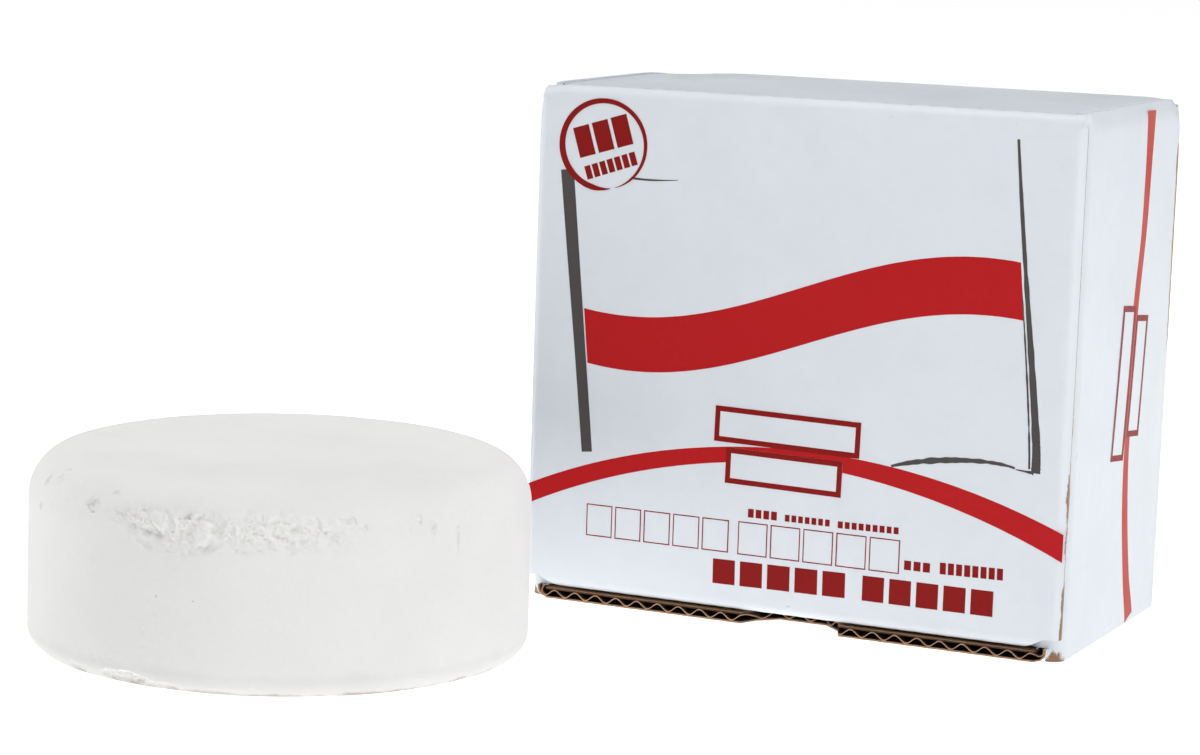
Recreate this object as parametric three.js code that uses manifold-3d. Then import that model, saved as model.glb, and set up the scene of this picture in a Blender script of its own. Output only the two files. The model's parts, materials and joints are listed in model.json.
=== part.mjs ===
// A round pressed chalk block beside the folded carton that it is kept in.
// Millimetres, +Z up, +X to the right, +Y to the back. The origin is the middle of the carton's underside.
// The carton is one roll-end mailer blank of corrugated board, folded and locked without glue. It stands
// on its narrow bottom wall, so its lid is the large front panel, hinged on the top wall and tucked in at
// the bottom.
import * as THREE from 'three';
import { mergeVertices } from 'three/addons/utils/BufferGeometryUtils.js';
import Module from 'manifold-3d';

// Carton, outside sizes
const WIDTH = 79.4;
const DEPTH = 46.2;
const HEIGHT = 73.5;
const BOARD = 1.5; // E-flute board
const GAP = 0.3; // free space between neighbouring panels

// Thumb notch in the bottom wall's front edge
const NOTCH_X = 1.1; // its middle, a little right of the carton's
const NOTCH_WIDTH = 14.5;
const NOTCH_DEPTH = 5.5;
const NOTCH_FLOOR = 7; // width of its flat bottom
const NOTCH_SHOULDER_IN = 1.2; // its shoulders lie this far in from its mouth's ends
const NOTCH_SHOULDER_DEEP = 3;

// Lid and tuck flap
const FLAP_LENGTH = 10;
const FLAP_WIDTH = 66;
const FLAP_CORNER = 4; // corner radius
const FLAP_TILT = THREE.MathUtils.degToRad(18); // folded this much past square, so that it slides in freely

// Lock tabs and the slots that they pass through
const TAB_LENGTH = 11;
const TAB_HEIGHTS = [19, 54.5]; // middles, above the underside
const TAB_LEAD = 0.6; // length of the chamfer at a tab's corners
const TAB_LEAD_WIDTH = 1.2;

// Ears between the end walls
const EAR_HEIGHT = 31;
const EAR_CHAMFER = 6;

// Chalk block
const BLOCK_RADIUS = 33.5;
const BLOCK_HEIGHT = 26.5;
const BLOCK_TOP_ROUND = 6.5;
const BLOCK_FOOT_ROUND = 2.7;
const BLOCK_X = -54.3;
const BLOCK_Y = -68;
const BLOCK_SIDES = 96;

// Planes of the folded carton
const halfWidth = WIDTH / 2;
const front = -DEPTH / 2; // the lid's printed face
const back = DEPTH / 2;
const lidInside = front + BOARD;
const backInside = back - BOARD;
const topInside = HEIGHT - BOARD;
const rollFront = lidInside + GAP; // the rolled edges sit just behind the lid
const rollBack = rollFront + BOARD;
const earOutside = halfWidth - BOARD - GAP;
const innerOutside = earOutside - BOARD - GAP;
const innerInside = innerOutside - BOARD;
const flapInside = BOARD + GAP + BOARD; // height of the tuck crease's inner line

const liner = { color: 0xdfe6ea, roughness: 0.45, metalness: 0 };
const inner = { color: 0xb08a5e, roughness: 0.85, metalness: 0 };
const chalk = { color: 0xf4f4f1, roughness: 0.95, metalness: 0 };

const wasm = await Module();
wasm.setup();

// A closed geometry as a manifold-3d solid, and a solid back as a geometry
function solid(geometry) {
  const bare = geometry.clone();
  bare.deleteAttribute('normal');
  bare.deleteAttribute('uv');
  const merged = mergeVertices(bare);
  const vertProperties = new Float32Array(merged.attributes.position.array);
  const triVerts = new Uint32Array(merged.index.array);
  return new wasm.Manifold(new wasm.Mesh({ numProp: 3, vertProperties, triVerts }));
}

function surface(body) {
  const mesh = body.getMesh();
  const geometry = new THREE.BufferGeometry();
  geometry.setAttribute('position', new THREE.BufferAttribute(mesh.vertProperties, 3));
  geometry.setIndex(new THREE.BufferAttribute(mesh.triVerts, 1));
  return geometry;
}

const group = new THREE.Group();

function add(name, geometry, look) {
  const mesh = new THREE.Mesh(geometry, new THREE.MeshStandardMaterial(look));
  mesh.name = name;
  group.add(mesh);
  return mesh;
}

// An outline drawn in the panel's own plane, made one board thick
function board(outline) {
  return new THREE.ExtrudeGeometry(new THREE.Shape(outline), { depth: BOARD, bevelEnabled: false });
}

function rectangle(u0, u1, v0, v1) {
  return [[u0, v0], [u1, v0], [u1, v1], [u0, v1]].map(([u, v]) => new THREE.Vector2(u, v));
}

// Points of an arc about (u, v), from angle a to angle b in quarter turns
function arc(u, v, radius, a, b, steps = 6) {
  const points = [];
  for (let i = 0; i <= steps; i += 1) {
    const t = (a + ((b - a) * i) / steps) * (Math.PI / 2);
    points.push(new THREE.Vector2(u + radius * Math.cos(t), v + radius * Math.sin(t)));
  }
  return points;
}

// Turns a geometry drawn as (x, z) with its thickness along -Y into place, its front face at y
function facingFront(geometry, y) {
  return geometry.rotateX(Math.PI / 2).translate(0, y + BOARD, 0);
}

// The same for a panel drawn as (y, z) whose thickness runs along +X from x
function facingSide(geometry, x) {
  return geometry.rotateX(Math.PI / 2).rotateZ(Math.PI / 2).translate(x, 0, 0);
}

// Back panel with a slot for each lock tab
const slotWidth = BOARD + 2 * GAP;
const slotHeight = TAB_LENGTH + 2 * GAP;
const slotCutDepth = 3 * BOARD; // reaches past both faces of the panel
const slotX = (innerInside + innerOutside) / 2;
let backSolid = solid(facingFront(board(rectangle(-halfWidth, halfWidth, 0, HEIGHT)), backInside));
for (const x of [-slotX, slotX]) {
  for (const z of TAB_HEIGHTS) {
    const slot = new THREE.BoxGeometry(slotWidth, slotCutDepth, slotHeight).translate(x, backInside, z);
    backSolid = backSolid.subtract(solid(slot));
  }
}
add('back_panel', surface(backSolid), liner);

// Bottom wall, drawn as (x, y), with the thumb notch in its front edge
const wallBack = backInside - GAP;
const bottomFront = front + GAP; // its raw edge stands just behind the lid's face
const notchHalf = NOTCH_WIDTH / 2;
const notchFloorHalf = NOTCH_FLOOR / 2;
const notchShoulder = notchHalf - NOTCH_SHOULDER_IN;
const notch = [
  [-notchHalf, 0], [-notchShoulder, NOTCH_SHOULDER_DEEP], [-notchFloorHalf, NOTCH_DEPTH],
  [notchFloorHalf, NOTCH_DEPTH], [notchShoulder, NOTCH_SHOULDER_DEEP], [notchHalf, 0],
].map(([x, y]) => new THREE.Vector2(NOTCH_X + x, bottomFront + y));
add('bottom_wall', board([
  new THREE.Vector2(-earOutside, bottomFront), ...notch, new THREE.Vector2(earOutside, bottomFront),
  new THREE.Vector2(earOutside, wallBack), new THREE.Vector2(-earOutside, wallBack),
]), liner);

// Top wall
const topFront = lidInside + GAP / 2;
const topOutline = rectangle(-earOutside, earOutside, topFront, wallBack);
add('top_wall', board(topOutline).translate(0, 0, topInside), liner);

// End walls: outer wall, rolled edge, inner wall with lock tabs, and the two ears between them
const innerLow = BOARD + GAP;
const innerHigh = topInside - GAP;
function innerWallOutline() {
  const points = [[rollBack + GAP, innerLow], [wallBack, innerLow]];
  const half = TAB_LENGTH / 2;
  const tipHalf = half - TAB_LEAD_WIDTH;
  for (const z of TAB_HEIGHTS) {
    points.push([wallBack, z - half], [back - TAB_LEAD, z - half], [back, z - tipHalf]);
    points.push([back, z + tipHalf], [back - TAB_LEAD, z + half], [wallBack, z + half]);
  }
  points.push([wallBack, innerHigh], [rollBack + GAP, innerHigh]);
  return points.map(([y, z]) => new THREE.Vector2(y, z));
}
function earOutline(low, high, taperHigh) {
  const y0 = rollBack + GAP;
  const y1 = wallBack;
  const [square, cut] = taperHigh ? [low, high] : [high, low];
  const inset = taperHigh ? -EAR_CHAMFER : EAR_CHAMFER;
  const points = [[y0, square], [y1, square], [y1, cut + inset], [y1 - EAR_CHAMFER, cut],
    [y0 + EAR_CHAMFER, cut], [y0, cut + inset]];
  return points.map(([y, z]) => new THREE.Vector2(y, z));
}
const anticlockwise = (points) => (THREE.ShapeUtils.isClockWise(points) ? points.reverse() : points);
for (const [name, side] of [['left', -1], ['right', 1]]) {
  const lowest = (outside) => (side < 0 ? -outside : outside - BOARD); // a wall's lower x
  const outer = rectangle(rollBack + GAP, wallBack, 0, HEIGHT);
  add(`${name}_outer_end_wall`, facingSide(board(outer), lowest(halfWidth)), liner);
  const strip = rectangle(side * halfWidth, side * innerInside, innerLow, innerHigh);
  add(`${name}_rolled_edge`, facingFront(board(anticlockwise(strip)), rollFront), liner);
  add(`${name}_inner_end_wall`, facingSide(board(innerWallOutline()), lowest(innerOutside)), liner);
  const bottomEar = anticlockwise(earOutline(innerLow, innerLow + EAR_HEIGHT, true));
  add(`${name}_bottom_ear`, facingSide(board(bottomEar), lowest(earOutside)), inner);
  const topEar = anticlockwise(earOutline(innerHigh - EAR_HEIGHT, innerHigh, false));
  add(`${name}_top_ear`, facingSide(board(topEar), lowest(earOutside)), inner);
}

// Lid, from just below its crease on the top wall to just above the tuck flap's crease
const lid = rectangle(-halfWidth, halfWidth, flapInside + GAP / 2, topInside - GAP / 2);
add('front_lid', facingFront(board(lid), front), liner);

// Tuck flap, drawn as (x, y) from its crease, then tilted about the crease's inner line
const flapHalf = FLAP_WIDTH / 2;
const flapOutline = [
  new THREE.Vector2(-flapHalf, GAP / 2), new THREE.Vector2(flapHalf, GAP / 2),
  ...arc(flapHalf - FLAP_CORNER, FLAP_LENGTH - FLAP_CORNER, FLAP_CORNER, 0, 1),
  ...arc(-flapHalf + FLAP_CORNER, FLAP_LENGTH - FLAP_CORNER, FLAP_CORNER, 1, 2),
];
const flap = board(flapOutline).translate(0, 0, -BOARD).rotateX(FLAP_TILT);
add('tuck_flap', flap.translate(0, lidInside, flapInside), liner);

// Chalk block: a short cylinder with a broad round at its top rim and a small one at its foot
const profile = [
  new THREE.Vector2(0, 0),
  ...arc(BLOCK_RADIUS - BLOCK_FOOT_ROUND, BLOCK_FOOT_ROUND, BLOCK_FOOT_ROUND, -1, 0, 4),
  ...arc(BLOCK_RADIUS - BLOCK_TOP_ROUND, BLOCK_HEIGHT - BLOCK_TOP_ROUND, BLOCK_TOP_ROUND, 0, 1, 8),
  new THREE.Vector2(0, BLOCK_HEIGHT),
];
const block = add('chalk_block', new THREE.LatheGeometry(profile, BLOCK_SIDES).rotateX(Math.PI / 2), chalk);
block.position.set(BLOCK_X, BLOCK_Y, 0);

export default group;
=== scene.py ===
"""The looks of a round pressed chalk block beside its folded carton of corrugated board.

Lengths in this file are in millimetres until a mesh is made, which is in metres. u runs across a panel's
flutes and v along them, and n is the height above the board's inner face, so its printed face is at
n = BOARD.
"""
import json
import math

import bpy
import numpy as np
from mathutils import Matrix, Vector, noise


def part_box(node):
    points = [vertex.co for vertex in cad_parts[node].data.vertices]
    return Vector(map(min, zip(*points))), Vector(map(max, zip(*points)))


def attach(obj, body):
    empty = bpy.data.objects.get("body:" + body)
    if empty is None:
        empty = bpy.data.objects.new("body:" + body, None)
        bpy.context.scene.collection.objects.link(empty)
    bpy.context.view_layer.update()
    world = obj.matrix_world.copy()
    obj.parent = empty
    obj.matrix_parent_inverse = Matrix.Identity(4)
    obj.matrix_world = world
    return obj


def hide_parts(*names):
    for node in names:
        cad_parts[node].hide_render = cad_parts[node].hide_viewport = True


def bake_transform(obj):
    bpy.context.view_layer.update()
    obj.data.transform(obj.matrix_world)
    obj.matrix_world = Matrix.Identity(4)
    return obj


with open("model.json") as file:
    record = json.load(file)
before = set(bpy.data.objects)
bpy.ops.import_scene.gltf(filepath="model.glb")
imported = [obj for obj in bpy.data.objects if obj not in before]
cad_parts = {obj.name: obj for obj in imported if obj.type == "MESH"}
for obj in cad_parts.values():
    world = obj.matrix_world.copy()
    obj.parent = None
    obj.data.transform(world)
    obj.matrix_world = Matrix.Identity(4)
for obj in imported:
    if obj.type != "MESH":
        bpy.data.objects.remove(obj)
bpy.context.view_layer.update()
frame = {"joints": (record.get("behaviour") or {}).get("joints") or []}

MM = 0.001

# Board
BOARD = 1.5
LINER = 0.22
PAPER = 0.15  # thickness of the fluting's paper
FLUTE = 3.225  # from one flute to the next
WASHBOARD = 0.012  # how far the printed face sinks between flutes
CREASE_ROUND = BOARD / 2  # bend of the board's middle line at a plain crease
ROLL_ROUND = 1.25  # and at the two creases of a rolled edge


def box_mm(node):
    """A node's lowest and highest corner, in millimetres."""
    low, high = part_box(node)
    return np.array(low) / MM, np.array(high) / MM


def joint_mm(name):
    """Where a hinge's line crosses the plane X = 0, in millimetres."""
    found = next(j for j in frame["joints"] if j["name"] == name)
    return np.array(found["pos_m"]) / MM


back_low, back_high = box_mm("back_panel")
lid_low, lid_high = box_mm("front_lid")
bottom_low, bottom_high = box_mm("bottom_wall")
top_low, top_high = box_mm("top_wall")
inner_low, inner_high = box_mm("right_inner_end_wall")
ear_low, ear_high = box_mm("right_bottom_ear")
roll_low, roll_high = box_mm("right_rolled_edge")
flap_low, flap_high = box_mm("tuck_flap")
block_low, block_high = box_mm("chalk_block")
lid_crease = joint_mm("lid_hinge")
tuck_crease = joint_mm("tuck_flap_hinge")

HALF = back_high[0]
BACK = back_high[1]
HEIGHT = back_high[2]
FRONT = lid_low[1]
WALL = bottom_high[0]  # half the width of the bottom and top walls


# ---------------------------------------------------------------------------------------------------------
# Meshes


def settled(points):
    """The carton's small knocks: two crushed top corners, a bowed lid and a bowed end."""
    x, y, z = points[..., 0], points[..., 1], points[..., 2]
    out = points.copy()

    def near(cx, cy, cz, size):
        return np.exp(-((x - cx) ** 2 + (y - cy) ** 2 + (z - cz) ** 2) / (2 * size**2))

    knock = near(-HALF, FRONT, HEIGHT, 2.2)
    out[..., 0] += 0.55 * knock
    out[..., 2] -= 0.45 * knock
    knock = near(-HALF, BACK, HEIGHT, 5.0)
    out[..., 2] -= 0.8 * knock
    knock = near(HALF, BACK, HEIGHT, 2.0)
    out[..., 0] -= 0.5 * knock
    out[..., 2] -= 0.5 * knock
    across = np.clip(1 - (x / HALF) ** 2, 0, 1)
    up = np.clip(4 * z * (HEIGHT - z) / HEIGHT**2, 0, 1)
    deep = np.clip((BACK - y) * (y - FRONT) / BACK**2, 0, 1)
    frontness = np.clip((FRONT + 3 - y) / 3, 0, 1)
    endness = np.clip((np.abs(x) - HALF + 3) / 3, 0, 1)
    out[..., 1] -= 0.25 * across * up * frontness
    out[..., 0] += np.sign(x) * 0.3 * deep * up * endness
    return out


class Build:
    """Gathers vertices in millimetres, faces with a material number each, and how worn each vertex is and how
    much daylight is painted on it, from 0 to 1; less daylight paints shade into the fluting's colour."""

    def __init__(self):
        self.points, self.faces, self.looks, self.wear, self.daylight = [], [], [], [], []

    def add(self, points, faces, looks, wear, daylight):
        first = sum(len(p) for p in self.points)
        self.points.append(points)
        self.wear.append(wear)
        self.daylight.append(daylight)
        self.faces += [tuple(first + i for i in face) for face in faces]
        self.looks += looks

    def object(self, name, materials, smooth=True):
        points = settled(np.concatenate(self.points)) * MM
        mesh = bpy.data.meshes.new(name)
        mesh.from_pydata([tuple(p) for p in points], [], self.faces)
        mesh.polygons.foreach_set("material_index", self.looks)
        mesh.polygons.foreach_set("use_smooth", [smooth] * len(self.faces))
        for material in materials:
            mesh.materials.append(material)
        for key, values in (("wear", self.wear), ("daylight", self.daylight)):
            attribute = mesh.attributes.new(key, "FLOAT", "POINT")
            attribute.data.foreach_set("value", np.concatenate(values).astype(np.float32))
        mesh.update()
        mesh.set_sharp_from_angle(angle=math.radians(38))
        made = bpy.data.objects.new(name, mesh)
        bpy.context.scene.collection.objects.link(made)
        return made


def slab(build, place, u, v, low, high, looks, keep=None, wear=None, daylight=None):
    """A closed slab over the grid of (u, v), from height low to height high. place turns (u, v, n) into a
    point. looks are the material numbers of its top, its underside, its rim at
    the v ends and, if that differs, its rim at the u ends. keep says which cells are
    there, so that a slot or a tab can be left out or left on. wear and daylight are for the vertices."""
    rows, columns = u.shape
    keep = np.ones((rows - 1, columns - 1), bool) if keep is None else keep
    wear = np.zeros(u.shape) if wear is None else wear
    daylight = np.ones(u.shape) if daylight is None else daylight
    points = np.concatenate([place(u, v, high).reshape(-1, 3), place(u, v, low).reshape(-1, 3)])
    under = rows * columns
    a, b, c = points[0], points[columns], points[1]
    flip = np.dot(np.cross(b - a, c - a), points[0] - points[under]) < 0

    def at(i, j):
        return i * columns + j

    def there(i, j):
        return 0 <= i < rows - 1 and 0 <= j < columns - 1 and keep[i, j]

    faces, numbers = [], []

    def face(corners, look):
        faces.append(corners[::-1] if flip else corners)
        numbers.append(look)

    for i in range(rows - 1):
        for j in range(columns - 1):
            if not keep[i, j]:
                continue
            ring = [at(i, j), at(i + 1, j), at(i + 1, j + 1), at(i, j + 1)]
            face(ring, looks[0])
            face([under + k for k in ring[::-1]], looks[1])
            beside = [there(i, j - 1), there(i + 1, j), there(i, j + 1), there(i - 1, j)]
            for k, joined in enumerate(beside):
                if not joined:
                    p, q = ring[k], ring[(k + 1) % 4]
                    face([q, p, under + p, under + q], looks[2] if k % 2 == 0 else looks[-1])
    used = sorted({k for f in faces for k in f})
    number = {old: new for new, old in enumerate(used)}
    faces = [tuple(number[k] for k in f) for f in faces]
    wear, daylight = (np.tile(values.ravel(), 2)[used] for values in (wear, daylight))
    build.add(points[used], faces, numbers, wear, daylight)


def samples(low, high, step, extra=()):
    """Evenly spaced values from low to high, with the extra ones in place of those that they crowd."""
    even = np.linspace(low, high, max(1, round((high - low) / step)) + 1)
    extra = [e for e in extra if low < e < high]
    even = [e for e in even if all(abs(e - x) > 0.04 for x in extra) or e in (low, high)]
    return np.array(sorted([*even, *extra]))


def rim_samples(low, high, step, extra=()):
    """The same, with more of them near both ends, where wear shows."""
    close = [0.25, 0.7, 1.5, 3.0]
    ends = [low + c for c in close] + [high - c for c in close] if high - low > 8 else []
    return samples(low, high, step, [*extra, *ends])


LOOKS = {"printed": 0, "kraft": 1, "fluting": 2}


CRUSH_WIDTH = 0.6  # how far in a crushed edge reaches, beside the flutes
CRUSH_TOP_WIDTH = 0.7  # and at their end
DAYLIGHT_REACH = 0.45  # how far in from an edge the fluting is painted lit; further in it is painted in shade
RIM_WEAR = 0.3
RIM_WEAR_REACH = 0.4


def no_scuff(u, _v):
    return 0 * u


def rim_wear(rim):
    """The wear at a distance rim from the board's edge."""
    return RIM_WEAR * np.exp(-rim / RIM_WEAR_REACH)


def corrugated(build, place, u_ends, v_ends, extra_u=(), extra_v=(), keep=None, crushed=0.0,
               crushed_top=0.0, scuff=no_scuff, v_step=4.0, shaded=False):
    """Board as three closed layers: printed liner, fluting and inner liner. u_ends is a pair of numbers and
    v_ends a pair of functions of u. keep says of a cell's middle (u, v) whether the board is there. crushed
    is how far the printed liner closes on the inner one along the two edges beside the flutes, and
    crushed_top the same at the high v end. scuff gives the wear of the printed face, besides a little along
    its edges. shaded paints shade on the inner liner's cut edges, where another panel lies over them."""
    u0, u1 = u_ends
    v0, v1 = v_ends
    middle = (u0 + u1) / 2
    low, high = float(v0(np.array([middle]))[0]), float(v1(np.array([middle]))[0])
    share = (rim_samples(low, high, v_step, extra_v) - low) / (high - low)

    def grid(step):
        us = rim_samples(u0, u1, step, extra_u)
        begin, end = v0(us)[:, None], v1(us)[:, None]
        v = begin + (end - begin) * share[None, :]
        u = us[:, None] + 0 * v
        beside = np.minimum(u - u0, u1 - u)
        rim = np.minimum(beside, np.minimum(v - v[:, :1], v[:, -1:] - v))
        from_top = v[:, -1:] - v
        pinch = crushed * np.exp(-((beside / CRUSH_WIDTH) ** 2))
        pinch = pinch + crushed_top * np.exp(-((from_top / CRUSH_TOP_WIDTH) ** 2))
        cells = None
        if keep is not None:
            cells = keep((u[1:, 1:] + u[:-1, :-1]) / 2, (v[1:, 1:] + v[:-1, :-1]) / 2)
        return u, v, cells, rim, pinch

    printed_look, kraft, fluting = LOOKS["printed"], LOOKS["kraft"], LOOKS["fluting"]
    u, v, cells, rim, pinch = grid(FLUTE / 6)
    ripple = WASHBOARD * (np.cos(2 * math.pi * u / FLUTE) - 1)
    wear = rim_wear(rim) + scuff(u, v)
    # Painted light: daylight is 1 at a cut edge and falls off inwards; it paints the fluting's colour lit or
    # in shade.
    daylight = np.exp(-rim / DAYLIGHT_REACH)
    slab(build, place, u, v, BOARD - LINER - pinch, BOARD + ripple - pinch,
         (printed_look, fluting, kraft, printed_look), cells, wear, daylight)
    # Painted shade: where shaded, the inner liner's cut edge takes the dark fluting colour and no daylight,
    # as if in the shade of the panel over it.
    end_look = fluting if shaded else kraft
    slab(build, place, u, v, 0 * u, LINER + 0 * u, (fluting, kraft, end_look, printed_look), cells, wear,
         daylight * (1 - shaded))
    u, v, cells, rim, pinch = grid(FLUTE / 12)
    swing = (BOARD - 2 * LINER - PAPER) / 2
    squeeze = 1 - pinch / (BOARD - 2 * LINER)
    middle = LINER + (BOARD / 2 - LINER + swing * np.cos(2 * math.pi * u / FLUTE)) * squeeze
    half = PAPER / 2 * squeeze
    slab(build, place, u, v, middle - half, middle + half, (fluting, fluting, fluting, printed_look), cells,
         rim_wear(rim) + scuff(u, v), np.exp(-rim / DAYLIGHT_REACH))


class Strip:
    """The middle line of a bent strip of board in a plane, as straight runs and round bends, and which side
    of it is printed: 1 for the left of its heading, -1 for the right. It bends away from the printed side."""

    def __init__(self, start, heading, moves, side):
        self.side, self.pieces, self.marks = side, [], [0.0]
        x, y, heading, s = start[0], start[1], math.radians(heading), 0.0
        for kind, size in moves:
            length = size if kind == "line" else size * math.pi / 2
            self.pieces.append((s, kind, size, x, y, heading))
            if kind == "line":
                x, y = x + size * math.cos(heading), y + size * math.sin(heading)
            else:
                turn = -side * math.pi / 2
                cx, cy = x + size * side * math.sin(heading), y - size * side * math.cos(heading)
                heading += turn
                x, y = cx - size * side * math.sin(heading), cy + size * side * math.cos(heading)
            s += length
            self.marks.append(s)

    def at(self, s, n):
        """Points at distance s along the strip and height n in the board."""
        x, y = np.zeros(s.shape), np.zeros(s.shape)
        for k, (begin, kind, size, px, py, heading) in enumerate(self.pieces):
            last = k == len(self.pieces) - 1
            here = (s >= begin - 1e-9) & ((s < self.marks[k + 1] - 1e-9) | last)
            along, off = s[here] - begin, (n[here] - BOARD / 2) * self.side
            if kind == "line":
                turned = np.full(along.shape, heading)
                mx, my = px + along * math.cos(heading), py + along * math.sin(heading)
            else:
                turned = heading - self.side * along / size
                cx = px + size * self.side * math.sin(heading)
                cy = py - size * self.side * math.cos(heading)
                mx, my = cx - size * self.side * np.sin(turned), cy + size * self.side * np.cos(turned)
            x[here], y[here] = mx - off * np.sin(turned), my + off * np.cos(turned)
        return x, y


def level(value):
    """A v_ends function that is the same all along."""
    return lambda u: np.full(np.shape(u), float(value))


# ---------------------------------------------------------------------------------------------------------
# Materials


class Nodes:
    """A material's node tree, with short ways to add and join nodes."""

    def __init__(self, name):
        self.material = bpy.data.materials.new(name)
        self.material.use_nodes = True
        self.tree = self.material.node_tree
        self.shader = self.tree.nodes["Principled BSDF"]
        self.place = self.add("ShaderNodeTexCoord").outputs["Object"]

    def add(self, kind, values=None, **settings):
        node = self.tree.nodes.new(kind)
        for key, value in settings.items():
            setattr(node, key, value)
        for key, value in (values or {}).items():
            if isinstance(value, bpy.types.NodeSocket):
                self.tree.links.new(value, node.inputs[key])
            else:
                node.inputs[key].default_value = value
        return node

    def noise(self, scale, detail=3.0, rough=0.5, stretch=None):
        """Noise whose features are about 1/scale metres across, or stretched along the axes."""
        place = self.place
        if stretch:
            place = self.add("ShaderNodeMapping", {"Vector": place, "Scale": stretch}).outputs[0]
        values = {"Vector": place, "Scale": scale, "Detail": detail, "Roughness": rough}
        return self.add("ShaderNodeTexNoise", values).outputs["Fac"]

    def ramp(self, fac, low, high, a=0.0, b=1.0):
        values = {"Value": fac, "From Min": low, "From Max": high, "To Min": a, "To Max": b}
        return self.add("ShaderNodeMapRange", values, clamp=True).outputs[0]

    def math(self, operation, a, b=0.0):
        node = self.add("ShaderNodeMath", operation=operation)
        for socket, value in zip(node.inputs, (a, b)):
            if isinstance(value, bpy.types.NodeSocket):
                self.tree.links.new(value, socket)
            else:
                socket.default_value = value
        return node.outputs[0]

    def mix(self, fac, a, b):
        node = self.add("ShaderNodeMix", data_type="RGBA")
        for socket, value in zip((node.inputs[0], node.inputs[6], node.inputs[7]), (fac, a, b)):
            if isinstance(value, bpy.types.NodeSocket):
                self.tree.links.new(value, socket)
            else:
                socket.default_value = value
        return node.outputs[2]

    def attribute(self, name):
        return self.add("ShaderNodeAttribute", attribute_name=name).outputs["Fac"]

    def bump(self, height, distance, strength=1.0):
        values = {"Height": height, "Distance": distance, "Strength": strength}
        self.set("Normal", self.add("ShaderNodeBump", values).outputs[0])

    def set(self, socket, value):
        if isinstance(value, bpy.types.NodeSocket):
            self.tree.links.new(value, self.shader.inputs[socket])
        else:
            self.shader.inputs[socket].default_value = value


def colour(red, green, blue):
    """A colour given in sRGB from 0 to 255, as linear values."""
    linear = [((c / 255 + 0.055) / 1.055) ** 2.4 if c > 10 else c / 255 / 12.92 for c in (red, green, blue)]
    return (*linear, 1.0)


KRAFT = colour(184, 146, 108)
KRAFT_DARK = colour(158, 120, 86)
SCUFF = colour(150, 112, 84)


def white_liner():
    m = Nodes("white_liner")
    mottle = m.noise(90, 4, 0.55)
    base = m.mix(m.ramp(mottle, 0.35, 0.65), colour(227, 233, 239), colour(230, 236, 242))
    dusty = m.ramp(m.noise(420, 5, 0.6), 0.45, 0.75, 0, 0.25)
    base = m.mix(dusty, base, colour(219, 226, 233))
    fine = m.ramp(m.noise(800, 6, 0.75, (1, 1, 0.35)), 0.3, 0.7, -0.3, 0.3)
    broad = m.ramp(m.noise(130, 3, 0.5), 0.35, 0.65, -0.25, 0.25)
    scuffed = m.math("ADD", m.attribute("wear"), m.math("ADD", fine, broad))
    base = m.mix(m.ramp(scuffed, 0.62, 0.82), base, SCUFF)
    m.set("Base Color", base)
    m.set("Roughness", m.ramp(m.noise(60, 3), 0.3, 0.7, 0.36, 0.46))
    m.set("IOR", 1.45)
    m.bump(m.noise(2600, 3, 0.6), 0.00002, 0.35)
    return m.material


def kraft_liner():
    m = Nodes("kraft_liner")
    fibre = m.noise(700, 6, 0.7, (1, 1, 0.5))
    base = m.mix(m.ramp(fibre, 0.3, 0.7), KRAFT_DARK, KRAFT)
    base = m.mix(m.ramp(m.noise(60, 3), 0.4, 0.7, 0, 0.35), base, colour(196, 160, 122))
    m.set("Base Color", base)
    m.set("Roughness", 0.85)
    m.bump(fibre, 0.00005, 0.5)
    return m.material


def fluting_paper():
    m = Nodes("fluting_paper")
    fibre = m.noise(700, 5, 0.7)
    # Painted shade: the paper is painted lit near a cut edge and dark brown further in, where shade falls
    # between the liners, by the daylight attribute.
    lit = m.mix(m.ramp(fibre, 0.3, 0.7), colour(158, 122, 94), colour(192, 158, 128))
    deep = m.mix(m.ramp(fibre, 0.3, 0.7), colour(58, 38, 26), colour(84, 58, 40))
    m.set("Base Color", m.mix(m.ramp(m.attribute("daylight"), 0.25, 0.95), deep, lit))
    m.set("Roughness", 0.9)
    m.bump(fibre, 0.00004, 0.5)
    return m.material


def ink(name, base):
    m = Nodes(name)
    light = tuple(min(1.0, 1.12 * c + 0.004) for c in base[:3]) + (1.0,)
    fine = m.ramp(m.noise(1400, 4, 0.6), 0.35, 0.75)
    broad = m.ramp(m.noise(70, 3), 0.35, 0.65, 0, 0.5)
    m.set("Base Color", m.mix(m.math("MULTIPLY", fine, broad), base, light))
    m.set("Specular IOR Level", 0.1)
    m.set("Roughness", m.ramp(m.noise(80, 3), 0.3, 0.7, 0.34, 0.44))
    m.bump(m.noise(2600, 3, 0.6), 0.00002, 0.35)
    return m.material


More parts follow.
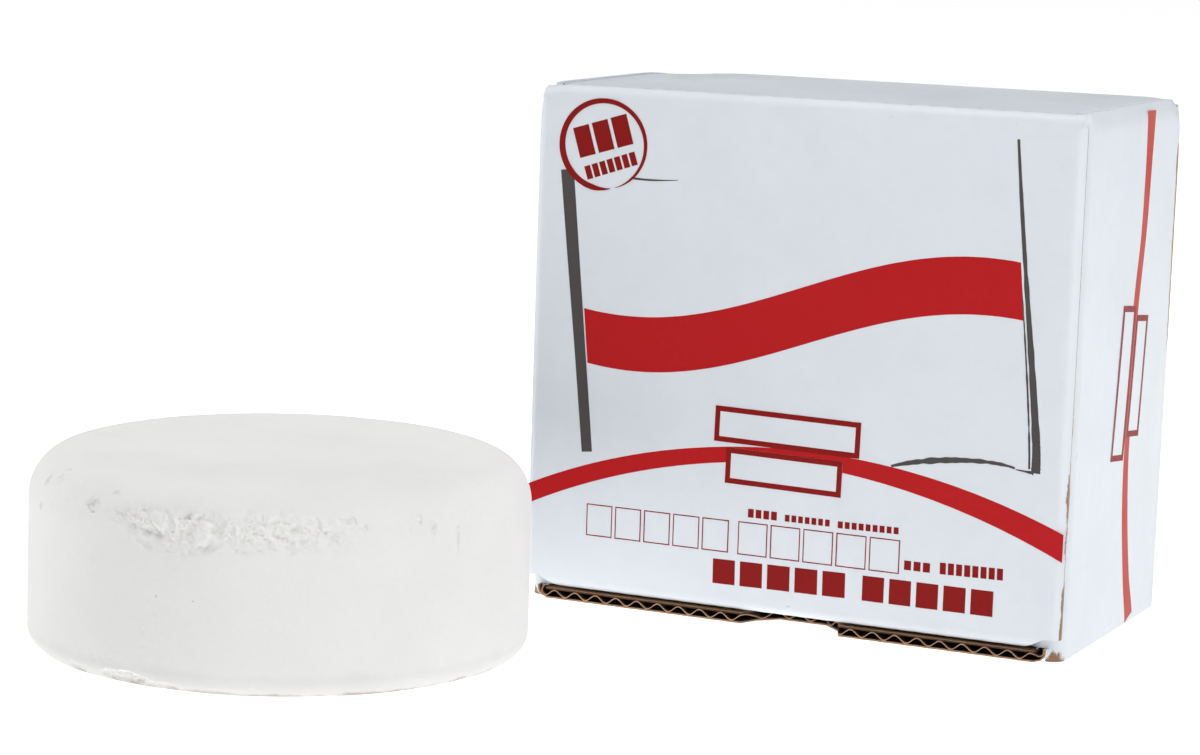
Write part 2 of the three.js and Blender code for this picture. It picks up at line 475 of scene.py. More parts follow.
def pressed_chalk():
    m = Nodes("pressed_chalk")
    cloud = m.noise(45, 5, 0.55)
    base = m.mix(m.ramp(cloud, 0.35, 0.65), colour(233, 233, 232), colour(238, 238, 237))
    grain = m.noise(1500, 6, 0.65)
    base = m.mix(m.ramp(grain, 0.52, 0.78, 0, 0.35), base, colour(225, 225, 224))
    # Lighter where worn: partly the fresher chalk of the worn band, partly a painted highlight for its
    # chipped ledge facing up into the light.
    base = m.mix(m.ramp(m.attribute("wear"), 0.0, 1.0, 0, 0.5), base, colour(241, 240, 237))
    # Painted shade: darker grey over the lowest 3.5 mm of the block, for the shade where it meets the floor,
    # and a real thin brown stain along the very foot.
    height = m.add("ShaderNodeSeparateXYZ", {"Vector": m.place}).outputs["Z"]
    foot = m.math("ADD", height, m.ramp(m.noise(220, 4), 0.3, 0.7, -0.0006, 0.0006))
    base = m.mix(m.ramp(foot, 0.0, 0.0035, 0.55, 0), base, colour(205, 204, 202))
    base = m.mix(m.ramp(foot, 0.0001, 0.0006, 0.6, 0), base, colour(160, 138, 122))
    m.set("Base Color", base)
    m.set("Roughness", 0.95)
    m.set("Specular IOR Level", 0.2)
    m.bump(m.math("ADD", m.math("MULTIPLY", grain, 0.6), m.noise(380, 5, 0.6)), 0.00012, 0.3)
    return m.material


def floor_paper():
    m = Nodes("floor_paper")
    m.set("Base Color", (0.5, 0.5, 0.5, 1))
    m.set("Emission Color", (1, 1, 1, 1))
    m.set("Emission Strength", 0.9)
    m.set("Roughness", 0.9)
    m.set("Specular IOR Level", 0.1)
    return m.material


WHITE = white_liner()
KRAFT_PAPER = kraft_liner()
FLUTING = fluting_paper()
RED = ink("red_ink", colour(188, 27, 31))
DARK_RED = ink("dark_red_ink", colour(140, 22, 20))
GREY = ink("grey_ink", colour(82, 78, 77))
# The end stripe's red is lighter than the lid's: painted sheen, for the end face seen at a grazing angle.
SHEEN_RED = ink("sheen_red_ink", colour(196, 62, 52))
BOARD_LOOKS = [WHITE, KRAFT_PAPER, FLUTING]


# ---------------------------------------------------------------------------------------------------------
# Carton: end walls, back panel and rolled edges are one strip in plan, with flutes that stand upright


def finish_piece(build, name, body, nodes, looks=None):
    made = build.object(name, looks or BOARD_LOOKS)
    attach(made, body)
    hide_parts(*nodes)
    return made


inner_mid = inner_low[0] + BOARD / 2
roll_turn = roll_low[1] + ROLL_ROUND + BOARD / 2  # y where both creases of a rolled edge begin
inner_run = BACK - roll_turn
roll_run = HALF - 2 * (ROLL_ROUND + BOARD / 2) - inner_low[0]
outer_run = BACK - BOARD - roll_turn
back_run = 2 * (HALF - BOARD)
end_moves = [("line", inner_run), ("bend", ROLL_ROUND), ("line", roll_run), ("bend", ROLL_ROUND),
             ("line", outer_run), ("bend", CREASE_ROUND), ("line", back_run / 2)]
ring = Strip((-inner_mid, BACK), -90, end_moves + [end_moves[-1]] + end_moves[-2::-1], 1)


def in_ring(u, v, n):
    x, y = ring.at(u, n)
    return np.stack([x, y, v], -1)


TAB_MIDDLES = (19.0, 54.5)
TAB_HALF = 5.5
SLOT_HALF = TAB_HALF + 0.3
tab_edges = [z + sign * TAB_HALF for z in TAB_MIDDLES for sign in (-1, 1)]
slot_edges = [z + sign * SLOT_HALF for z in TAB_MIDDLES for sign in (-1, 1)]
wall_low, wall_high = inner_low[2], inner_high[2]
tab_root = BACK - (BOARD + 0.3)


def ring_end(side):
    """Marks along the ring of one end, from the inner wall's back end to the back panel's middle."""
    marks = ring.marks[:8]
    return marks if side == "left" else [ring.marks[-1] - m for m in marks]


CRUSHED = 0.85  # how far a crushed edge's printed liner closes on the inner one


def rolled_lip(build, begin, end, lip=1.6, thin=0.05):
    """The coated liner pressed over the top cut edge of an end wall and down its inner face."""
    us = samples(begin, end, 0.5)
    v, u = np.meshgrid([HEIGHT - lip, HEIGHT - lip / 2, HEIGHT], us)
    slab(build, in_ring, u, v, 0 * u - 0.01 - thin, 0 * u - 0.01, (LOOKS["printed"],) * 3)
    v, u = np.meshgrid([HEIGHT + 0.005, HEIGHT + thin], us)
    slab(build, in_ring, u, v, 0 * u - 0.01 - thin, 0 * u + BOARD - CRUSHED, (LOOKS["printed"],) * 3)


def back_scuff(u, v):
    """The right end's back edge is rubbed to the kraft over its upper half."""
    upper = np.clip((v - 34) / 8, 0, 1) * np.clip((HEIGHT - 4 - v) / 3, 0, 1)
    return 0.95 * np.exp(-(((u - ring.marks[-6] - 0.3) / 0.55) ** 2)) * upper


for side in ("left", "right"):
    marks = ring_end(side)

    def has_board(u, v, side=side):
        y = in_ring(u, v, 0 * u)[..., 1]
        tab = np.any([np.abs(v - z) < TAB_HALF for z in TAB_MIDDLES], 0)
        return (y < tab_root) | tab

    def stretch(first, last, marks=marks):
        return tuple(sorted((marks[first], marks[last])))

    root = BACK - tab_root
    root_mark = root if side == "left" else ring.marks[-1] - root
    build = Build()
    corrugated(build, in_ring, stretch(0, 1), (level(wall_low), level(wall_high)),
               [root_mark], tab_edges, has_board)
    finish_piece(build, f"{side}_inner_end_board", "carton", [f"{side}_inner_end_wall"])

    def rolled_foot(u, side=side, marks=marks):
        beyond = (u - marks[3]) * (1 if side == "left" else -1)
        return np.where(beyond > -0.3, 0.0, wall_low)

    def rolled_head(u, foot=rolled_foot):
        return HEIGHT - foot(u)

    def rolled_scuff(u, v, marks=marks):
        bend_start = marks[3] + 0.3 * (marks[4] - marks[3])
        return 0.8 * np.exp(-(((u - bend_start) / 1.2) ** 2)) * np.clip((2.4 - v) / 1.6, 0, 1)

    build = Build()
    turn_start = marks[3] - (0.3 if side == "left" else -0.3)
    step_marks = [turn_start - 0.03, turn_start + 0.03]
    corrugated(build, in_ring, stretch(1, 4), (rolled_foot, rolled_head), step_marks,
               crushed_top=CRUSHED, scuff=rolled_scuff)
    rolled_lip(build, *sorted((turn_start, marks[4])))
    finish_piece(build, f"{side}_rolled_edge_board", "carton", [f"{side}_rolled_edge"])

    build = Build()
    corrugated(build, in_ring, stretch(4, 5), (level(0), level(HEIGHT)), crushed_top=CRUSHED,
               scuff=back_scuff)
    rolled_lip(build, *stretch(4, 5))
    finish_piece(build, f"{side}_outer_end_board", "carton", [f"{side}_outer_end_wall"])


# The back panel, with its slots, its two upright creases and the creases of the bottom and top walls
def slot_cells(u, v):
    x = in_ring(u, v, 0 * u)[..., 0]
    beside = np.abs(np.abs(x) - inner_mid) < BOARD / 2 + 0.3
    level_with = np.any([np.abs(v - z) < SLOT_HALF for z in TAB_MIDDLES], 0)
    return ~(beside & level_with)


def back_foot(u):
    x = np.abs(ring.at(u, 0 * u)[0])
    return np.where(x > HALF - BOARD - 0.05, 0.5, BOARD)


def back_head(u):
    return HEIGHT - back_foot(u)


back_middle = ring.marks[7]
slot_half = BOARD / 2 + 0.3
slot_marks = [back_middle + sign * (inner_mid + edge * slot_half) for sign in (-1, 1) for edge in (-1, 1)]


def crease(build, pivot, begin, end, half_begin, half_end, worn=0.1, flange=0):
    """A bend about a pivot line along X, from angle begin to angle end in the (y, z) plane, whose half width
    goes from half_begin to half_end, with a straight flange beyond each end. The fluting is crushed flat
    there, so it is two layers."""

    def place(u, v, n):
        bent = np.clip(v, 0, 1)
        turn = np.radians(begin + (end - begin) * bent)
        past = (v - bent) * flange
        half = half_begin + (half_end - half_begin) * bent
        y = pivot[1] + n * np.cos(turn) - past * np.sin(turn)
        z = pivot[2] + n * np.sin(turn) + past * np.cos(turn)
        return np.stack([u * half, y, z], -1)

    us = samples(-1, 1, FLUTE / 6 / half_begin)
    along = np.linspace(0, 1, 11)
    if flange:
        along = [-1, *along, 2]
    v, u = np.meshgrid(along, us)
    ripple = WASHBOARD * (np.cos(2 * math.pi * u * half_begin / FLUTE) - 1)
    wear = worn * np.sin(math.pi * np.clip(v, 0, 1)) ** 0.5 + rim_wear((1 - np.abs(u)) * half_begin)
    slab(build, place, u, v, BOARD - LINER + 0 * u, BOARD + ripple,
         (LOOKS["printed"], LOOKS["kraft"], LOOKS["printed"]), None, wear)
    slab(build, place, u, v, 0.03 + 0 * u, BOARD - LINER - 0.02 + 0 * u,
         (LOOKS["kraft"], LOOKS["kraft"], LOOKS["printed"]), None, wear)


build = Build()
corrugated(build, in_ring, (ring.marks[5], ring.marks[-6]), (back_foot, back_head), slot_marks, slot_edges,
           slot_cells, scuff=back_scuff)
crease(build, (0, BACK - BOARD, BOARD), -90, 0, WALL, WALL)
crease(build, (0, BACK - BOARD, HEIGHT - BOARD), 0, 90, WALL, WALL, 0.42)
finish_piece(build, "back_board", "carton", ["back_panel"])


# ---------------------------------------------------------------------------------------------------------
# Carton: bottom and top walls with their ears, each a strip in the (x, z) plane

EAR_CHAMFER = 6.0
ear_height = ear_high[2] - ear_low[2]
ear_moves = [("line", ear_height), ("line", ear_low[2] - BOARD), ("bend", CREASE_ROUND),
             ("line", 2 * (WALL - BOARD))]
ear_mid = WALL - BOARD / 2
bottom = Strip((-ear_mid, ear_high[2]), -90, ear_moves + ear_moves[-2::-1], -1)
top = Strip((-ear_mid, HEIGHT - ear_high[2]), 90, ear_moves + ear_moves[-2::-1], 1)
wall_back = BACK - BOARD

NOTCH_MIDDLE = 1.1
NOTCH_OUTLINE = [(-7.25, 0.0), (-6.05, 3.0), (-3.5, 5.5), (3.5, 5.5), (6.05, 3.0), (7.25, 0.0)]


def upright(strip):
    def place(u, v, n):
        x, z = strip.at(u, n)
        return np.stack([x, v, z], -1)

    return place


def ear_ends(strip):
    """The two v_ends functions of an ear, whose free end is chamfered."""

    def cut(u):
        free = np.minimum(u, strip.marks[-1] - u)
        return np.clip(EAR_CHAMFER - free, 0, EAR_CHAMFER)

    return (lambda u: ear_low[1] + cut(u)), (lambda u: ear_high[1] - cut(u))


def notch_front(u):
    """The bottom wall's front edge: notched for a thumb, and set back at the two bends into the ears."""
    x = bottom.at(u, 0 * u)[0]
    xs, ys = zip(*NOTCH_OUTLINE)
    edge = bottom_low[1] + np.interp(x - NOTCH_MIDDLE, xs, ys, left=0, right=0)
    return np.where(np.abs(x) > WALL - BOARD - 0.01, bottom_low[1] + 0.4, edge)


for level_name, strip in (("bottom", bottom), ("top", top)):
    marks = strip.marks
    for side, ends in (("left", (0.0, marks[1])), ("right", (marks[-2], marks[-1]))):
        build = Build()
        corrugated(build, upright(strip), ends, ear_ends(strip),
                   [EAR_CHAMFER, marks[-1] - EAR_CHAMFER])
        ear = f"{side}_{level_name}_ear"
        finish_piece(build, f"{ear}_board", "carton", [ear])

middle = (bottom.marks[3] + bottom.marks[4]) / 2
notch_marks = [middle + NOTCH_MIDDLE + x for x, _ in NOTCH_OUTLINE]
build = Build()
# The inner liner's cut edges are painted in shade here, for the lid that lies over the front one.
corrugated(build, upright(bottom), (bottom.marks[1], bottom.marks[-2]), (notch_front, level(wall_back)),
           [*notch_marks, bottom.marks[3], bottom.marks[4]], shaded=True)
finish_piece(build, "bottom_board", "carton", ["bottom_wall"])

build = Build()
corrugated(build, upright(top), (top.marks[1], top.marks[-2]), (level(top_low[1]), level(wall_back)),
           [top.marks[3], top.marks[4]])
finish_piece(build, "top_board", "carton", ["top_wall"])


# ---------------------------------------------------------------------------------------------------------
# Lid and tuck flap


LID_FLANGE = 0.15  # how far the lid and the top wall end from the crease between them


def on_lid(u, v, n):
    return np.stack([u, FRONT + BOARD - n, v], -1)


def lid_scuff(u, v):
    """The lid's two raw edges are scuffed to the kraft, the right one more towards its foot."""
    right = np.exp(-(HALF - u) / 0.3) * np.clip((46 - v) / 40, 0, 1) * 0.5
    left = np.exp(-(HALF + u) / 0.3) * 0.12
    return right + left


build = Build()
lid_ends = (level(tuck_crease[2]), level(lid_crease[2] - LID_FLANGE))
corrugated(build, on_lid, (-HALF, HALF), lid_ends, crushed=CRUSHED, scuff=lid_scuff)
finish_piece(build, "lid_board", "lid", ["front_lid"])

FLAP_TILT = math.radians(18)
FLAP_LENGTH = 10.0
FLAP_CORNER = 4.0
flap_half = flap_high[0]


def on_flap(u, v, n):
    y = tuck_crease[1] + v * math.cos(FLAP_TILT) + n * math.sin(FLAP_TILT)
    z = tuck_crease[2] + v * math.sin(FLAP_TILT) - n * math.cos(FLAP_TILT)
    return np.stack([u, y, z], -1)


def flap_edge(u):
    past = np.clip(np.abs(u) - (flap_half - FLAP_CORNER), 0, FLAP_CORNER)
    return FLAP_LENGTH - FLAP_CORNER + np.sqrt(FLAP_CORNER**2 - past**2)


build = Build()
corrugated(build, on_flap, (-flap_half, flap_half), (level(0.15), flap_edge), v_step=2.0)
finish_piece(build, "tuck_flap_board", "flap", ["tuck_flap"])

build = Build()
crease(build, lid_crease, 90, 180, HALF - 0.25, HALF - 0.25, 0.05, LID_FLANGE)
lid_bend = build.object("lid_crease", BOARD_LOOKS)
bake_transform(lid_bend)

build = Build()
crease(build, tuck_crease, 180, 270 + math.degrees(FLAP_TILT), HALF - 2.2, flap_half)
tuck_bend = build.object("tuck_crease", BOARD_LOOKS)
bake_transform(tuck_bend)


# ---------------------------------------------------------------------------------------------------------
# Print: thin films of ink on the lid and the right end, all plain shapes

INK_LOW, INK_HIGH = 0.002, 0.016
CARD_HIGH = 0.048  # white fields printed over the inks, clear of the washboard
MARK_HIGH = 0.06  # and the outlines round those fields
PRINT_RIGHT = 0.7  # how far right of the lid's middle the print's own middle is
PRINT_FORWARD = 1.1  # and how far to the front the right end's print is moved


def end_u(y):
    """How far round the ring of end walls a point of the right end lies."""
    return ring.marks[-6] + (BACK - BOARD) - (y - PRINT_FORWARD)


def on_print(u, v, n):
    return on_lid(u + PRINT_RIGHT, v, n)


def print_film(build, place, u, v, low=INK_LOW, high=INK_HIGH, keep=None):
    ripple = WASHBOARD * (np.cos(2 * math.pi * u / FLUTE) - 1)
    slab(build, place, u, v, BOARD + ripple + low, BOARD + ripple + high, (0, 0, 0), keep)


def stroke(build, place, points, widths, along_v=False, **settings):
    """A band of ink along points (u, v), with its width at each, measured along v if along_v."""
    path, widths = np.array(points, float), np.array(widths, float)
    step = np.gradient(path, axis=0)
    step /= np.linalg.norm(step, axis=1)[:, None]
    normal = np.stack([-step[:, 1], step[:, 0]], -1)
    if along_v:
        normal = np.stack([np.zeros(len(path)), np.ones(len(path))], -1)
    across = np.linspace(-0.5, 0.5, 5)
    u = path[:, :1] + normal[:, :1] * widths[:, None] * across
    v = path[:, 1:] + normal[:, 1:] * widths[:, None] * across
    print_film(build, place, u, v, **settings)


def brushed(build, place, points, widths, count=60, rough=0.0, seed=0.0, **settings):
    """A stroke along a smooth line through a few points. rough makes its edges waver as a dry brush's do."""
    points = np.array(points, float)
    known = np.linspace(0, 1, len(points))
    t = np.linspace(0, 1, count)
    fit = [np.polyfit(known, points[:, k], min(3, len(points) - 1)) for k in (0, 1)]
    path = np.stack([np.polyval(f, t) for f in fit], -1)
    width = np.interp(t, np.linspace(0, 1, len(widths)), widths)
    wobble = [noise.noise(Vector((seed, 17 * k, 0))) for k in t]
    stroke(build, place, path, width * (1 + rough * np.array(wobble)), **settings)


def block_of(build, place, centre, size, tilt=0.0, line=None, **settings):
    """A plain rectangle of ink, or only its outline when line is given."""
    w, h = size[0] / 2, size[1] / 2
    inner = [] if line is None else [line]
    a = samples(-w, w, 0.55, [x for i in inner for x in (-w + i, w - i)])
    b = samples(-h, h, 2.0, [x for i in inner for x in (-h + i, h - i)])
    a, b = np.meshgrid(a, b, indexing="ij")
    mid_a, mid_b = (a[1:, 1:] + a[:-1, :-1]) / 2, (b[1:, 1:] + b[:-1, :-1]) / 2
    keep = None if line is None else (np.abs(mid_a) > w - line) | (np.abs(mid_b) > h - line)
    c, s = math.cos(math.radians(tilt)), math.sin(math.radians(tilt))
    print_film(build, place, centre[0] + a * c - b * s, centre[1] + a * s + b * c, keep=keep, **settings)


def row_of_blocks(build, place, left, right, height, count, gap, line=None):
    """Plain rectangles side by side from left to right, in place of a word."""
    left, right = np.array(left, float), np.array(right, float)
    length = np.linalg.norm(right - left)
    tilt = math.degrees(math.atan2(*(right - left)[::-1]))
    width = (length - gap * (count - 1)) / count
    for k in range(count):
        middle = left + (right - left) * (k * (width + gap) + width / 2) / length
        block_of(build, place, middle, (width, height), tilt, line)


def printed(name, build, ink, body):
    made = build.object(name, [ink])
    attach(made, body)


# A waving band across the middle
build = Build()
u = np.linspace(-31.9, 31.55, 120)
band = 44.0 + 6.1 * np.sin(math.pi * (u - 0.8) / 51.5)
across = np.linspace(-0.5, 0.5, 9)
grid_v = band[:, None] + 7.7 * across
grid_u = u[:, None] - 0.8 * across + 0 * grid_v
print_film(build, on_print, grid_u, grid_v)
printed("print_wave_band", build, RED, "lid")

# A shallow arch from edge to edge, whose top edge is part of a circle
ARCH_RADIUS = 99.0
ARCH_CREST = (1.7, 25.4)
build = Build()
u = np.linspace(-HALF + 0.05, HALF - 0.05, 160)
arch_top = ARCH_CREST[1] - ARCH_RADIUS + np.sqrt(ARCH_RADIUS**2 - (u - ARCH_CREST[0]) ** 2)
arch_width = np.interp(u, [-HALF, ARCH_CREST[0], HALF], [2.9, 1.95, 3.8])
stroke(build, on_lid, np.stack([u, arch_top - arch_width / 2], -1), arch_width, True)
printed("print_arch", build, RED, "lid")

# Grey brush strokes: a post at each side, a thin ground line, a hair line
build = Build()
brushed(build, on_print, [(-35.6, 61.65), (-32.7, 36), (-31.15, 21.9)], [2.0, 1.7, 1.6])
brushed(build, on_print, [(29.9, 70.2), (31.1, 59), (31.8, 52.7), (32.85, 44.8), (33.73, 36.7), (34.5, 30.0)],
        [0.38, 0.55, 0.6, 0.75, 0.95, 1.1], rough=0.25, seed=1)
brushed(build, on_print, [(34.5, 30.0), (34.65, 27.8), (34.65, 25.7)], [1.1, 1.2, 1.3], rough=0.1, seed=5)
brushed(build, on_print, [(31.3, 51.4), (32.3, 43), (33.27, 33.4), (33.75, 26.2)], [0.1, 0.22, 0.25, 0.3],
        rough=0.9, seed=2)
brushed(build, on_print, [(14.4, 24.6), (20.2, 25.95), (26.7, 26.55), (31.8, 26.1)], [0.35, 0.85, 0.6, 0.3],
        rough=0.35, seed=3)
brushed(build, on_print, [(31.9, 25.95), (33.0, 25.85), (34.4, 25.7)], [0.12, 0.22, 0.5], rough=0.6, seed=4)
brushed(build, on_print, [(-25.75, 61.1), (-22.5, 61.0), (-18.6, 61.25)], [0.32, 0.26, 0.08])
printed("print_grey_strokes", build, GREY, "lid")

# A brushed ring with plain blocks inside
RING = (-30.1, 65.4)
RING_RADII = (6.4, 6.15)
build = Build()
turn = np.radians(np.linspace(-72, 281, 130))
path = np.stack([RING[0] + RING_RADII[0] * np.cos(turn), RING[1] + RING_RADII[1] * np.sin(turn)], -1)
width_places = [0, 0.06, 0.16, 0.5, 0.75, 0.93, 1]
width = np.interp(np.linspace(0, 1, 130), width_places, [0.06, 0.3, 0.5, 0.72, 0.95, 0.8, 0.1])
stroke(build, on_print, path, width, low=INK_HIGH, high=CARD_HIGH)
row_of_blocks(build, on_print, (-34.3, 65.4), (-26.2, 67.9), 4.3, 3, 0.5)
row_of_blocks(build, on_print, (-32.7, 61.3), (-25.1, 63.9), 1.9, 7, 0.28)
printed("print_ring", build, DARK_RED, "lid")

# Rows of plain blocks in the places of the lettering
build = Build()
for left, right, height in ((-30.9, -9.0, 4.6), (-7.6, 16.2, 4.7)):
    row_of_blocks(build, on_print, (left, 12.2), (right, 12.2), height, 5, 0.45, line=0.16)
row_of_blocks(build, on_print, (-6.2, 15.85), (-1.9, 15.85), 1.2, 4, 0.3)
row_of_blocks(build, on_print, (-0.7, 15.75), (5.9, 15.75), 0.95, 7, 0.3)
row_of_blocks(build, on_print, (7.1, 15.7), (15.9, 15.8), 0.95, 9, 0.3)
row_of_blocks(build, on_print, (16.9, 11.2), (20.6, 11.2), 1.3, 3, 0.35)
row_of_blocks(build, on_print, (22.0, 11.35), (30.9, 11.5), 1.6, 8, 0.3)
row_of_blocks(build, on_print, (-11.2, 7.1), (8.5, 7.3), 3.5, 5, 0.75)
row_of_blocks(build, on_print, (11.0, 7.3), (29.7, 7.3), 3.5, 5, 0.75)
printed("print_lettering_blocks", build, DARK_RED, "lid")


def framed_field(name, place, fields, body, line=0.75):
    """White fields with a heavy red outline, laid over the other print."""
    white, outline = Build(), Build()
    for centre, size, tilt in fields:
        block_of(white, place, centre, size, tilt, low=INK_HIGH, high=CARD_HIGH)
        block_of(outline, place, centre, size, tilt, line, low=CARD_HIGH, high=MARK_HIGH)
    printed(f"{name}_fields", white, WHITE, body)
    printed(f"{name}_outlines", outline, DARK_RED, body)


# Each field is (middle, size, tilt in degrees)
front_fields = [((-0.9, 27.8), (21.5, 5.0), -1), ((-1.2, 22.1), (17.2, 5.0), -1)]
end_fields = [((end_u(0.7), 35.4), (6.0, 21.5), 6), ((end_u(7.4), 35.7), (6.0, 17.0), 6)]
framed_field("print_front_mark", on_print, front_fields, "lid")
framed_field("print_end_mark", in_ring, end_fields, "carton", 0.85)

# A long thin stripe down the right end
build = Build()
END_STRIPE = [(8.3, 72.6), (7.9, 66.0), (7.0, 55.0), (4.6, 45.5), (4.2, 24.0), (5.2, 17.0), (8.2, 6.0),
              (11.3, 0.6)]
END_STRIPE_WIDTHS = [3.9, 2.9, 2.5, 2.4, 2.3, 2.6, 2.8, 3.4]
ends_v = [v for _, v in END_STRIPE]
z = np.linspace(ends_v[0], ends_v[-1], 90)
middle_y = np.interp(-z, [-v for v in ends_v], [u for u, _ in END_STRIPE])
smoothed = np.convolve(np.pad(middle_y, 7, "edge"), np.hanning(17)[1:-1] / np.hanning(17).sum(), "valid")
stripe_width = np.interp(-z, [-v for v in ends_v], END_STRIPE_WIDTHS)
stroke(build, in_ring, np.stack([end_u(smoothed), z], -1), stripe_width)
printed("print_end_stripe", build, SHEEN_RED, "carton")


# ---------------------------------------------------------------------------------------------------------
# Chalk block

BLOCK_R = (block_high[0] - block_low[0]) / 2
BLOCK_H = block_high[2]
BLOCK_X = (block_high[0] + block_low[0]) / 2
BLOCK_Y = (block_high[1] + block_low[1]) / 2
TOP_ROUND = 6.5
FOOT_ROUND = 2.7
FACING = math.radians(-60)  # the worn side of the rim


def block_profile(count_top=40, count_round=75, count_side=100, count_foot=20):
    """Radius, height and outward direction along the profile, from the middle of the top to the foot."""
    rows = []
    for r in np.linspace(0.02, BLOCK_R - TOP_ROUND, count_top, endpoint=False):
        rows.append((r, BLOCK_H, 0.0, 1.0))
    for t in np.linspace(math.pi / 2, 0, count_round, endpoint=False):
        r, z = BLOCK_R - TOP_ROUND + TOP_ROUND * math.cos(t), BLOCK_H - TOP_ROUND + TOP_ROUND * math.sin(t)
        rows.append((r, z, math.cos(t), math.sin(t)))
    for z in np.linspace(BLOCK_H - TOP_ROUND, FOOT_ROUND, count_side, endpoint=False):
        rows.append((BLOCK_R, z, 1.0, 0.0))
    for t in np.linspace(0, -math.pi / 2, count_foot):
        rows.append((BLOCK_R - FOOT_ROUND + FOOT_ROUND * math.cos(t), FOOT_ROUND + FOOT_ROUND * math.sin(t),
                     math.cos(t), math.sin(t)))
    return rows


def fractal(p, scale, octaves):
    return noise.fractal(Vector(p) * scale, 0.9, 2.1, octaves, noise_basis="PERLIN_ORIGINAL")


def smooth(x, low, high):
    t = min(1.0, max(0.0, (x - low) / (high - low)))
    return t * t * (3 - 2 * t)


# The worn band round the rim, in degrees from the facing direction and millimetres above the foot
BAND_TURNS = [-42, -36, -31, -25, -18, -13, -8, -3, 1, 6, 12, 20]
BAND_LOW = [21.2, 20.0, 18.2, 17.9, 17.9, 19.2, 18.2, 18.8, 18.5, 19.2, 18.3, 19.5]
BAND_HIGH = [21.8, 23.2, 23.5, 23.2, 23.6, 23.2, 23.7, 23.3, 23.3, 22.9, 22.6, 21.5]
# Small chips as (turn, height, half width along the rim, half height, depth), in degrees and millimetres
CHIPS = [(-46.7, 22.5, 1.5, 1.1, 0.5), (-40.6, 24.3, 0.7, 0.3, 0.25), (-67.6, 20.4, 0.5, 0.7, 0.35),
         (-68.5, 23.4, 0.6, 0.8, 0.35), (-62.6, 24.6, 1.3, 1.3, 0.3), (15.5, 22.6, 0.9, 0.7, 0.35),
         (18.2, 21.8, 0.6, 0.7, 0.3), (32.2, 22.4, 0.5, 0.8, 0.3), (35.3, 20.9, 0.5, 0.9, 0.4),
         (42.4, 19.0, 0.28, 2.6, 0.3), (-27.5, 12.4, 0.15, 0.15, 0.2), (-18.8, 12.2, 0.2, 0.15, 0.2),
         (-36, 1.2, 4.5, 0.8, 0.35), (-27, 0.7, 3.5, 0.6, 0.3), (-15, 0.6, 2.5, 0.4, 0.25),
         (-52, 1.0, 2.0, 0.6, 0.3)]
# Faintly rough patches, as (turn, height, half width, half height)
PATCHES = [(-4, 9.0, 4.5, 1.4), (-28, 8.0, 4.0, 5.5), (28, 21.5, 6.0, 1.6), (50, 22.5, 5.0, 1.8),
           (-58, 23.5, 6.0, 2.2), (-45, 3.2, 7.0, 1.4)]


def blob(turn, height, middle, half):
    """1 at the middle of an oval on the block's side, falling to 0 at its edge and below 0 outside."""
    across = math.radians(math.remainder(turn - middle[0], 360)) * BLOCK_R
    return 1 - math.hypot(across / half[0], (height - middle[1]) / half[1])


def block_cut(p, turn, height):
    """How deep the surface lies below the pressed shape at a point, and how worn it is, from 0 to 1."""
    facing = math.degrees(math.remainder(turn - FACING, 2 * math.pi))
    depth = 0.09 * (fractal(p, 0.09, 2) + 0.4) + 0.012 * fractal(p, 1.1, 3)
    if height < 0.1 or not -95 < facing < 95:
        return max(0.0, depth), 0.0
    ragged = fractal(p, 0.5, 3)
    crumbs = 1 - abs(fractal(p, 0.42, 2))
    grit = abs(fractal((p[1], p[2], p[0]), 1.3, 3))
    low = float(np.interp(facing, BAND_TURNS, BAND_LOW)) + 0.5 * ragged
    high = float(np.interp(facing, BAND_TURNS, BAND_HIGH)) + 0.5 * fractal((p[2], p[0], p[1]), 0.5, 3)
    ends = smooth(facing, -44, -38) * smooth(-facing, -22, -8)
    rise = 0.45 * smooth(height, low - 0.1, low + 0.25) + 0.55 * smooth(height, low, low + 2.2)
    worn = rise * smooth(-height, -high - 0.8, -high + 0.9) * ends
    held = smooth(fractal((p[0] + 9, p[1], p[2] * 0.6), 0.33, 2), 0.3, 0.6)
    worn *= 1 - 0.6 * held
    depth += worn * (1.05 - 0.7 * crumbs + 0.35 * grit)
    for middle_turn, middle_height, half_width, half_height, deep in CHIPS:
        edge = blob(facing, height, (middle_turn, middle_height), (half_width, half_height))
        if edge > -1:
            chip = smooth(edge + 0.45 * ragged, 0.0, 0.45)
            depth += chip * deep * (0.7 + 0.8 * grit)
            worn = max(worn, chip)
    for middle_turn, middle_height, half_width, half_height in PATCHES:
        edge = blob(facing, height, (middle_turn, middle_height), (half_width, half_height))
        if edge > 0:
            depth += 0.10 * smooth(edge, 0, 0.5) * grit
    return max(0.0, depth), worn


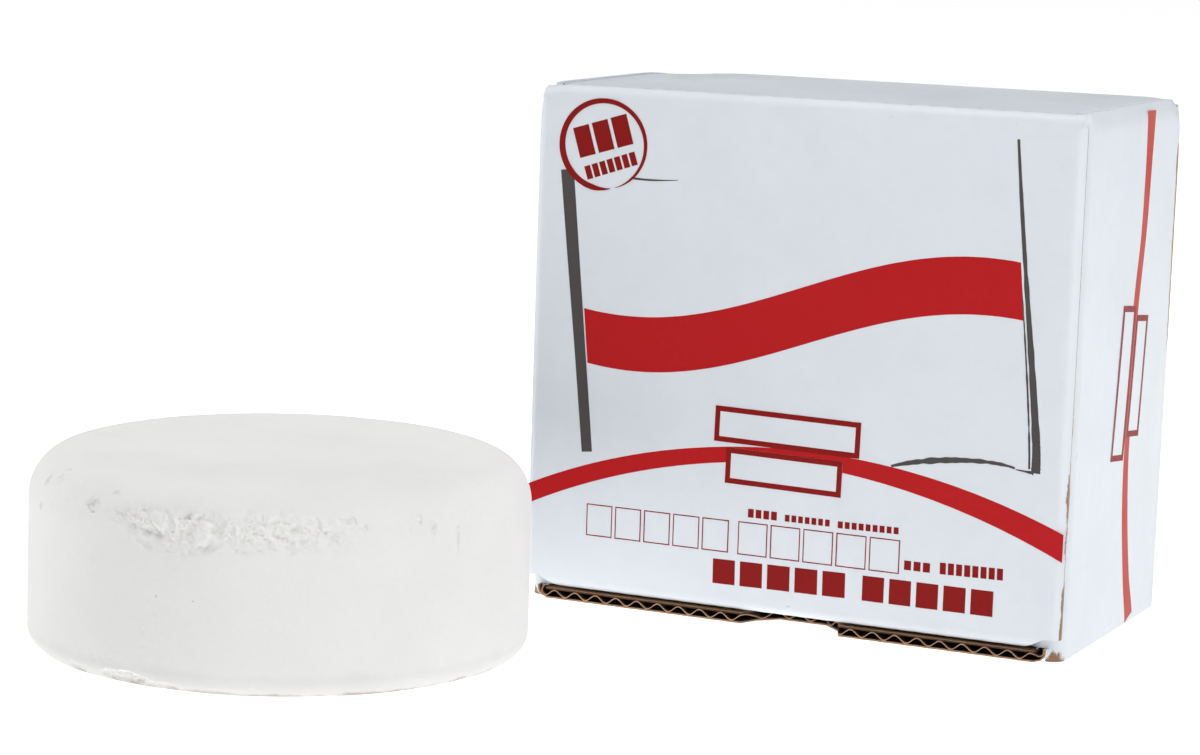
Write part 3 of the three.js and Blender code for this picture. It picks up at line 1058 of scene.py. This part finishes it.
def chalk_block(material):
    profile = block_profile()
    fine = np.linspace(-80, 60, 640, endpoint=False)
    coarse = np.linspace(60, 280, 330, endpoint=False)
    turns = [FACING + math.radians(t) for t in (*fine, *coarse)]
    around = len(turns)
    points, worn = [], []
    for r, z, out, up in profile:
        for turn in turns:
            c, s = math.cos(turn), math.sin(turn)
            p = (r * c, r * s, z)
            cut, w = block_cut(p, turn, z)
            reach = r - cut * out
            points.append((BLOCK_X + reach * c, BLOCK_Y + reach * s, max(0.0, z - cut * up)))
            worn.append(w)
    rows = len(profile)
    faces = []
    for i in range(rows - 1):
        for k in range(around):
            n = (k + 1) % around
            faces.append((i * around + k, (i + 1) * around + k, (i + 1) * around + n, i * around + n))
    faces.append(tuple(range(around)))
    faces.append(tuple((rows - 1) * around + k for k in reversed(range(around))))
    build = Build()
    build.add(np.array(points), faces, [0] * len(faces), np.array(worn), np.ones(len(worn)))
    return build.object("pressed_chalk_block", [material])


block = chalk_block(pressed_chalk())
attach(block, "block")
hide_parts("chalk_block")


# ---------------------------------------------------------------------------------------------------------
# Floor, light and camera

bpy.ops.mesh.primitive_plane_add(size=6)
floor = bpy.context.object
floor.name = "floor"
floor.data.materials.append(floor_paper())


def soft_light(name, place, aim, size, watts, tint=(1, 1, 1)):
    data = bpy.data.lights.new(name, "AREA")
    data.shape, data.size, data.energy, data.color = "DISK", size, watts, tint
    made = bpy.data.objects.new(name, data)
    bpy.context.scene.collection.objects.link(made)
    made.location = place
    made.rotation_euler = (Vector(aim) - Vector(place)).to_track_quat("-Z", "Y").to_euler()


soft_light("right", (0.9, -0.15, 0.45), (0, 0, 0.03), 0.5, 1.95)
soft_light("left", (-1.0, -0.1, 0.4), (0, 0, 0.03), 0.5, 3.25)
soft_light("above", (0.1, -0.3, 1.2), (0, 0, 0), 0.8, 8.6)
soft_light("above_back", (0.1, 0.35, 1.1), (0, 0, 0), 0.8, 1.4)

world = bpy.data.worlds.new("studio")
bpy.context.scene.world = world
world.use_nodes = True
world.node_tree.nodes["Background"].inputs["Color"].default_value = (1, 1, 1, 1)
world.node_tree.nodes["Background"].inputs["Strength"].default_value = 0.14

bpy.context.scene.view_settings.view_transform = "Standard"

CAMERA_PLACE = (0.1741, -0.4634, 0.1054)
camera_data = bpy.data.cameras.new("camera")
camera = bpy.data.objects.new("camera", camera_data)
bpy.context.scene.collection.objects.link(camera)
bpy.context.scene.camera = camera
camera_data.lens = 104.36
camera_data.sensor_width = 36
camera_data.shift_x = 0.0973
camera_data.shift_y = 0.0303
yaw, pitch, roll = (math.radians(a) for a in (26.67, 9.19, 1.59))
aim = Matrix.Rotation(yaw, 4, "Z") @ Matrix.Rotation(math.pi / 2 - pitch, 4, "X")
aim = aim @ Matrix.Rotation(roll, 4, "Z")
camera.matrix_world = Matrix.Translation(CAMERA_PLACE) @ aim
